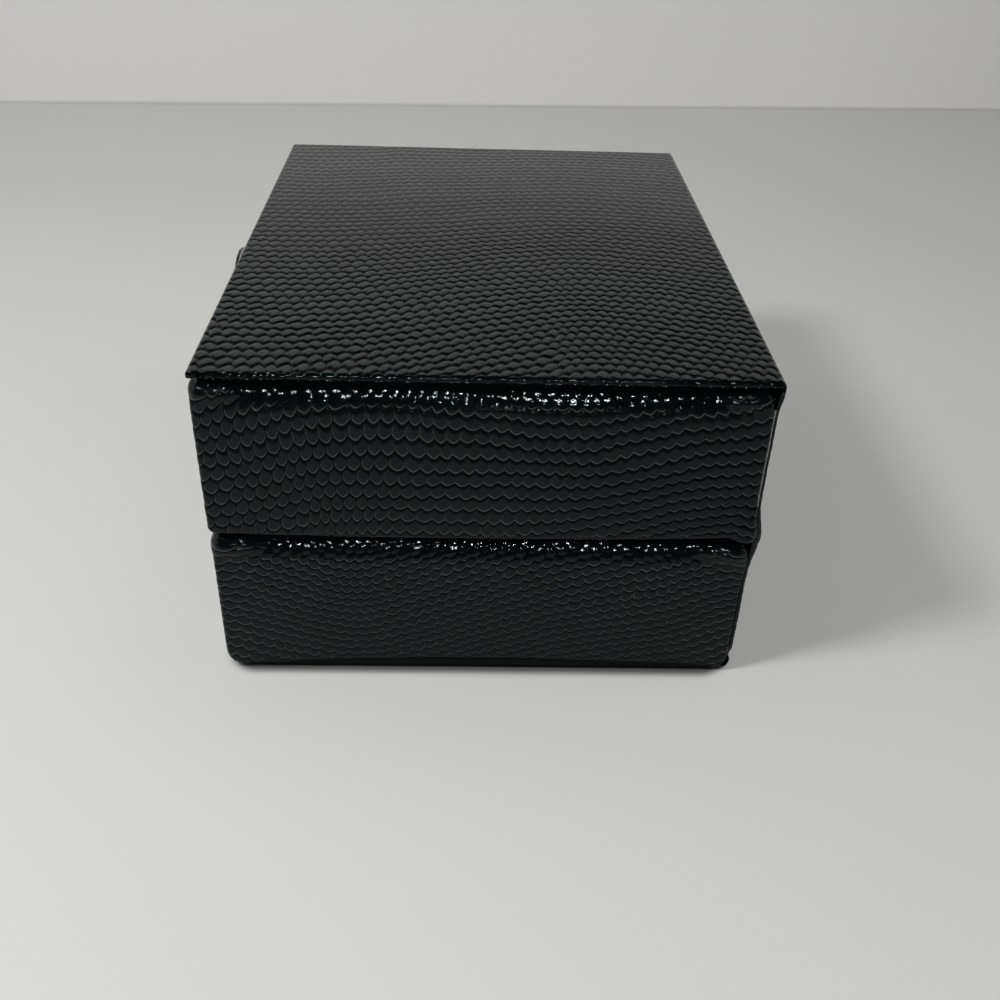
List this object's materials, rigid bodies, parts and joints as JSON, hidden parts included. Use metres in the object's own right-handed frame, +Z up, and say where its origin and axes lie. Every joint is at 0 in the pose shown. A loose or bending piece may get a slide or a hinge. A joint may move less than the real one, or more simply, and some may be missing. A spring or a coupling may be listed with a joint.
{
  "type": "ring display box",
  "caption": "Leatherette-covered hinged box with velvet ring rolls, a satin-padded lid and a magnetic closure tab.",
  "frame": {"origin": "on the face it rests on, midway between the lid's sides and midway between the lid's front and the spine", "axes": "+Z up, -Y towards the closure tab, +X along the hinge to the right as seen from behind the hinge"},
  "size_m": [0.0784, 0.0618, 0.0395],
  "materials": {
    "leatherette": "lizard-embossed, semi-gloss",
    "greyboard": "matt",
    "moulded_tray": "fine matt",
    "velvet": "short pile",
    "foam": "open cell",
    "satin": "lustrous",
    "hinge_cloth": "woven",
    "plated_steel": "nickel plated"
  },
  "bodies": {
    "base": {"cover_lower": "leatherette", "bottom_board": "greyboard", "base_tray": "moulded_tray", "base_wrap": "leatherette", "ring_collar": "velvet", "insert_board": "greyboard", "roll_foam_front": "foam", "roll_foam_rear": "foam", "roll_velvet_front": "velvet", "roll_velvet_rear": "velvet", "hinge_tape_lower": "hinge_cloth", "keeper_plate": "plated_steel"},
    "lid": {"cover_upper": "leatherette", "top_board": "greyboard", "lid_shell": "moulded_tray", "lid_wrap": "leatherette", "lid_liner": "satin", "lid_pad_board": "greyboard", "lid_pad_foam": "foam", "lid_pad_satin": "satin", "hinge_tape_upper": "hinge_cloth", "tab_sleeve_upper": "leatherette", "tab_board_upper": "greyboard"},
    "closure_tab": {"tab_sleeve_lower": "leatherette", "tab_board_lower": "greyboard", "tab_magnet": "plated_steel"}
  },
  "joints": [
    {"name": "lid_hinge", "type": "hinge", "parent": "base", "child": "lid", "pos_m": [0, 0.03015, 0.0191], "axis": [-1, 0, 0], "range_deg": [0, 105]},
    {"name": "tab_crease", "type": "hinge", "parent": "lid", "child": "closure_tab", "pos_m": [0, -0.03165, 0.02], "axis": [-1, 0, 0], "range_deg": [0, 95]}
  ]
}
